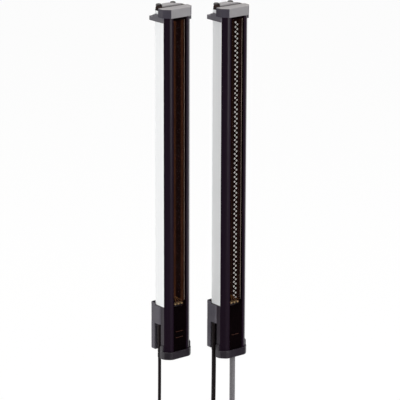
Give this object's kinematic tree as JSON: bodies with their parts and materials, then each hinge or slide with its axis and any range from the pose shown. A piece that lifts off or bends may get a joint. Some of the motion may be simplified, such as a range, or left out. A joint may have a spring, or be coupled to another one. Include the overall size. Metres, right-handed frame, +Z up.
{
  "type": "light curtain set",
  "caption": "Light curtain set: sender and receiver sticks with aluminium profiles, smoked front windows over dense lens columns, end caps, clamps and hanging plug cables.",
  "frame": {"origin": "centre of the hole in the sender's clamp, on the clamp's back face", "axes": "+Z up along the sticks, -Y the way the windows face, +X from the sender to the receiver"},
  "size_m": [0.0922, 0.0635, 0.5819],
  "materials": {
    "anodised": "fine satin, clear anodised",
    "black_frame": "satin black",
    "black_inner": "matt",
    "board_green": "solder mask",
    "cable_black": "smooth jacket",
    "cable_grey": "smooth jacket",
    "cap_grey": "fine matt texture",
    "chip": "epoxy",
    "clamp_grey": "fine matt texture",
    "clear_plastic": "clear, polished",
    "foot_black": "fine matt texture",
    "gold": "gold plated",
    "housing_grey": "fine matt texture",
    "insert_plastic": "moulded",
    "nickel": "nickel plated",
    "plug_black": "moulded",
    "seal_rubber": "matt",
    "smoked_window": "glossy, dark red-brown smoke",
    "steel": "zinc plated"
  },
  "bodies": {
    "root": {"receiver_bottom_end_cap": "foot_black", "receiver_bottom_seal": "seal_rubber", "receiver_cable": "cable_grey", "receiver_cable_2": "cable_grey", "receiver_cable_sleeve": "cable_black", "receiver_cable_sleeve_2": "cable_black", "receiver_cap_screws": "steel", "receiver_circuit_board": "board_green", "receiver_connector_housing": "housing_grey", "receiver_connector_screws": "steel", "receiver_connector_seal": "seal_rubber", "receiver_front_frame": "black_frame", "receiver_front_window": "smoked_window", "receiver_housing_profile": "anodised", "receiver_lens_strip": "clear_plastic", "receiver_mounting_clamp": "clamp_grey", "receiver_optics_carrier": "black_inner", "receiver_photodiodes": "chip", "receiver_plug_body": "plug_black", "receiver_plug_body_2": "plug_black", "receiver_plug_insert": "insert_plastic", "receiver_plug_insert_2": "insert_plastic", "receiver_plug_nut": "nickel", "receiver_plug_nut_2": "nickel", "receiver_plug_pins": "gold", "receiver_plug_pins_2": "gold", "receiver_status_light_guide": "clear_plastic", "receiver_top_end_cap": "cap_grey", "receiver_top_seal": "seal_rubber", "sender_bottom_end_cap": "foot_black", "sender_bottom_seal": "seal_rubber", "sender_cable": "cable_grey", "sender_cable_sleeve": "cable_black", "sender_cap_screws": "steel", "sender_circuit_board": "board_green", "sender_connector_housing": "housing_grey", "sender_connector_screws": "steel", "sender_connector_seal": "seal_rubber", "sender_emitters": "chip", "sender_front_frame": "black_frame", "sender_front_window": "smoked_window", "sender_housing_profile": "anodised", "sender_lens_strip": "clear_plastic", "sender_mounting_clamp": "clamp_grey", "sender_optics_carrier": "black_inner", "sender_plug_body": "plug_black", "sender_plug_insert": "insert_plastic", "sender_plug_nut": "nickel", "sender_plug_pins": "gold", "sender_status_light_guide": "clear_plastic", "sender_top_end_cap": "cap_grey", "sender_top_seal": "seal_rubber"}
  },
  "joints": []
}
